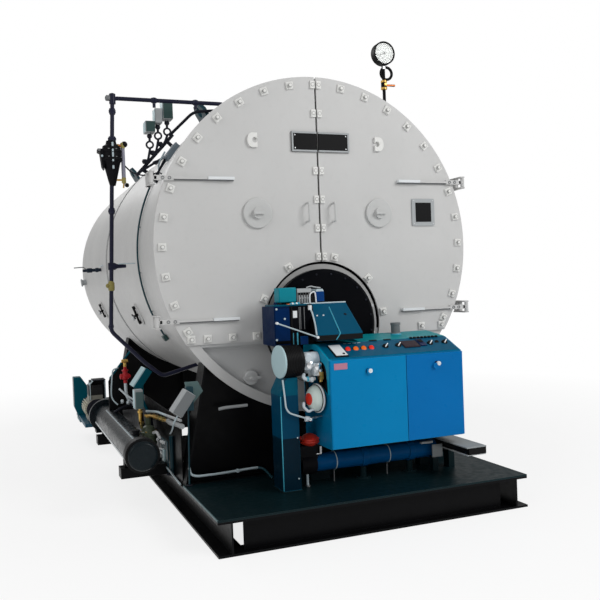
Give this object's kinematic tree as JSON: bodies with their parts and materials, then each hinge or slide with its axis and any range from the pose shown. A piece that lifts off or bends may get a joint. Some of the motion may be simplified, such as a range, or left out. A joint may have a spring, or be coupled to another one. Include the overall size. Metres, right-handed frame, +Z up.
{
  "type": "industrial fire tube boiler",
  "caption": "Horizontal fire tube boiler on a steel skid with hinged front doors, burner, control cabinet, water column, gauge and oil heating set.",
  "frame": {"origin": "on the floor under the drum axis, in the plane of the front faces of the two main doors", "axes": "+X to the right seen from the front, +Y along the drum to the rear, +Z up"},
  "size_m": [2.369, 5.18, 3.0059],
  "materials": {
    "grey_paint": "satin pale grey enamel",
    "clip_paint": "satin white enamel",
    "black_paint": "satin black enamel",
    "deck_paint": "dull dark green enamel",
    "cabinet_blue": "semi gloss blue enamel",
    "panel_teal": "semi gloss teal enamel",
    "navy_paint": "gloss dark blue enamel",
    "hood_teal": "semi gloss teal enamel",
    "pipe_blue": "semi gloss blue enamel",
    "light_grey_paint": "satin",
    "blue_grey_paint": "satin",
    "plated_steel": "zinc plated",
    "black_iron": "dull",
    "brass": "dull",
    "gauge_glass": "clear",
    "red_paint": "gloss",
    "black_plastic": "matte",
    "white_dial": "satin",
    "lining": "matte refractory"
  },
  "bodies": {
    "plant": {"skid_right_beam": "black_paint", "skid_left_beam": "black_paint", "skid_front_beam": "black_paint", "skid_cross_beams": "black_paint", "deck_plate": "deck_paint", "saddles": "black_paint", "boiler_shell": "grey_paint", "rear_head": "grey_paint", "tube_sheet": "black_iron", "smokebox": "grey_paint", "lower_front_plate": "grey_paint", "burner_sleeve": "black_iron", "hinge_brackets": "clip_paint", "burner_drum": "navy_paint", "burner_housing": "navy_paint", "air_hood": "hood_teal", "burner_top_boxes": "blue_grey_paint", "air_filter": "black_plastic", "fuel_pump": "plated_steel", "pressure_switch": "light_grey_paint", "blower_housing": "pipe_blue", "cabinet_body": "cabinet_blue", "control_panel": "panel_teal", "panel_controls": "black_plastic", "gas_pipe": "pipe_blue", "gas_valve": "black_iron", "gas_regulator": "red_paint", "pipe_supports": "light_grey_paint", "cabinet_legs": "light_grey_paint", "water_column_pipes": "black_iron", "float_control": "black_iron", "gauge_glass": "brass", "lifting_lugs": "blue_grey_paint", "top_outlets": "black_iron", "control_manifold": "brass", "pressure_controls": "blue_grey_paint", "conduits": "blue_grey_paint", "pressure_gauge": "black_plastic", "gauge_stem": "black_iron", "handhole_covers": "grey_paint", "oil_heater": "black_iron", "outriggers": "black_paint", "pump_set": "blue_grey_paint", "belt_guard": "hood_teal", "strainer": "blue_grey_paint", "side_controls": "light_grey_paint", "thermostat": "light_grey_paint"},
    "left_door_leaf": {"left_door": "grey_paint", "left_door_clips": "clip_paint", "left_door_hinges": "clip_paint", "left_door_fittings": "grey_paint", "nameplate_left_half": "black_plastic"},
    "right_door_leaf": {"right_door": "grey_paint", "right_door_clips": "clip_paint", "right_door_hinges": "clip_paint", "right_door_fittings": "grey_paint", "nameplate_right_half": "black_plastic", "data_plate": "plated_steel"},
    "cabinet_left_leaf": {"cabinet_left_door": "cabinet_blue"},
    "cabinet_right_leaf": {"cabinet_right_door": "cabinet_blue"}
  },
  "joints": [
    {"name": "left_door_hinge", "type": "hinge", "parent": "plant", "child": "left_door_leaf", "pos_m": [-1.062, -0.022, 1.59], "axis": [0, 0, -1], "range_deg": [0, 105]},
    {"name": "right_door_hinge", "type": "hinge", "parent": "plant", "child": "right_door_leaf", "pos_m": [1.062, -0.022, 1.59], "axis": [0, 0, 1], "range_deg": [0, 105]},
    {"name": "cabinet_left_hinge", "type": "hinge", "parent": "plant", "child": "cabinet_left_leaf", "pos_m": [-0.21115, -0.56915, 0.7], "axis": [0, 0, -1], "range_deg": [0, 100]},
    {"name": "cabinet_right_hinge", "type": "hinge", "parent": "plant", "child": "cabinet_right_leaf", "pos_m": [0.62615, -0.56915, 0.7], "axis": [0, 0, 1], "range_deg": [0, 100]}
  ]
}
